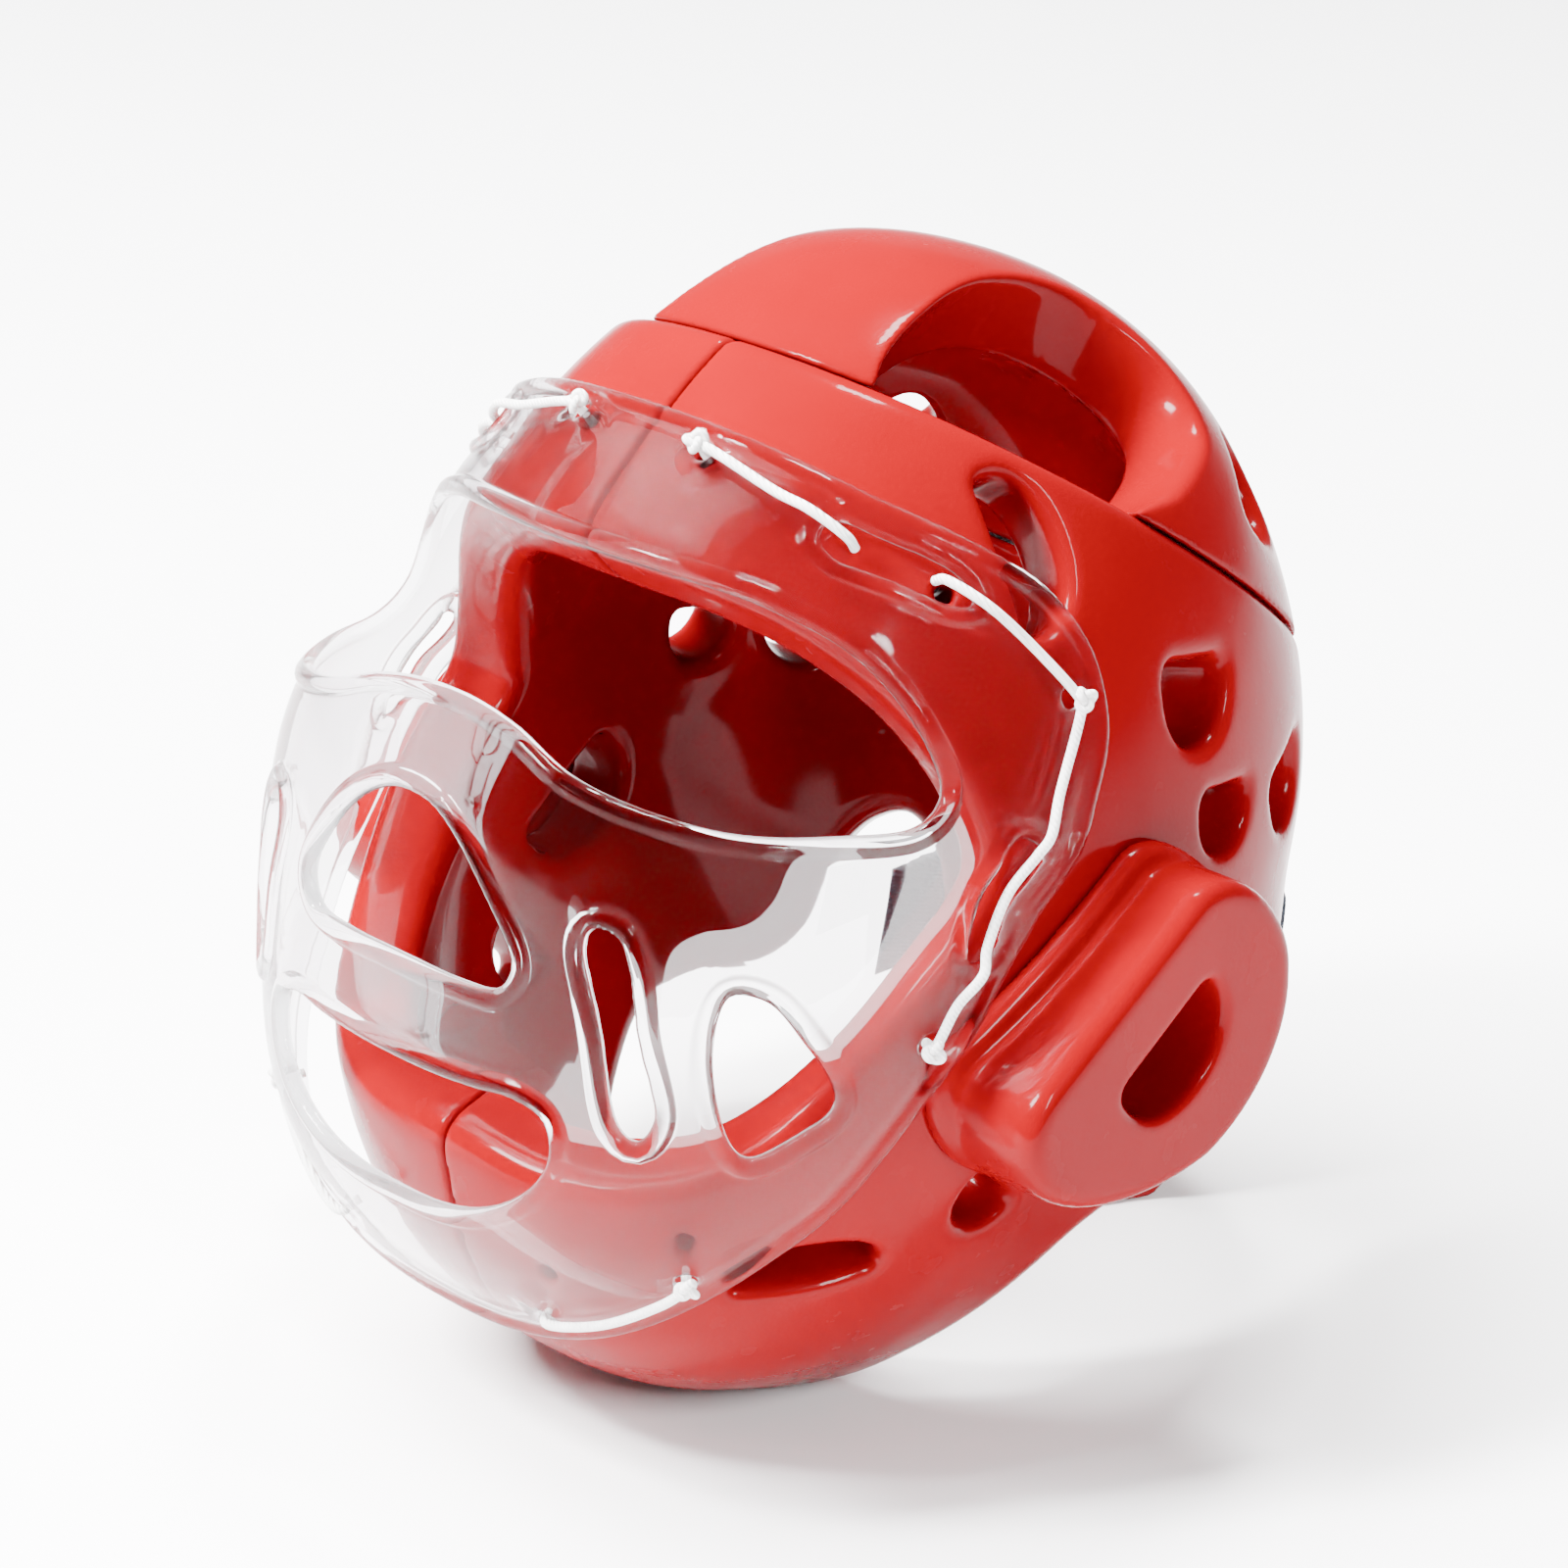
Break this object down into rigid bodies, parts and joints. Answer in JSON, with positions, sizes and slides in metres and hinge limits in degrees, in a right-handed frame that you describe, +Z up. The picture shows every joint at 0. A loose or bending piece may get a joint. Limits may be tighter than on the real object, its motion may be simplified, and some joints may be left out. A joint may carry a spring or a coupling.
{
  "type": "sparring headgear with face shield",
  "caption": "Red dipped-foam sparring headgear with ear pads, an open crown and a clear vented face shield laced over the face opening.",
  "frame": {"origin": "centre of the whole headgear's bounding box, on the surface it rests on", "axes": "+Z up as it rests on its chin and rear flap, the face looks along -Y, the wearer's left ear is at +X"},
  "size_m": [0.238, 0.2526, 0.2551],
  "materials": {
    "dipped_foam": "glossy red vinyl dip coat over foam",
    "clear_plastic": "clear polished moulded plastic",
    "white_cord": "white waxed cord",
    "dark_elastic": "dark woven elastic"
  },
  "bodies": {
    "root": {"foam_half_left": "dipped_foam", "foam_half_right": "dipped_foam", "crown_panel": "dipped_foam", "ear_pad_left": "dipped_foam", "ear_pad_right": "dipped_foam", "face_shield": "clear_plastic", "lace_forehead_left": "white_cord", "lace_forehead_right": "white_cord", "lace_temple_left": "white_cord", "lace_temple_right": "white_cord", "lace_chin_left": "white_cord", "lace_chin_right": "white_cord", "rear_strap": "dark_elastic"}
  },
  "joints": []
}
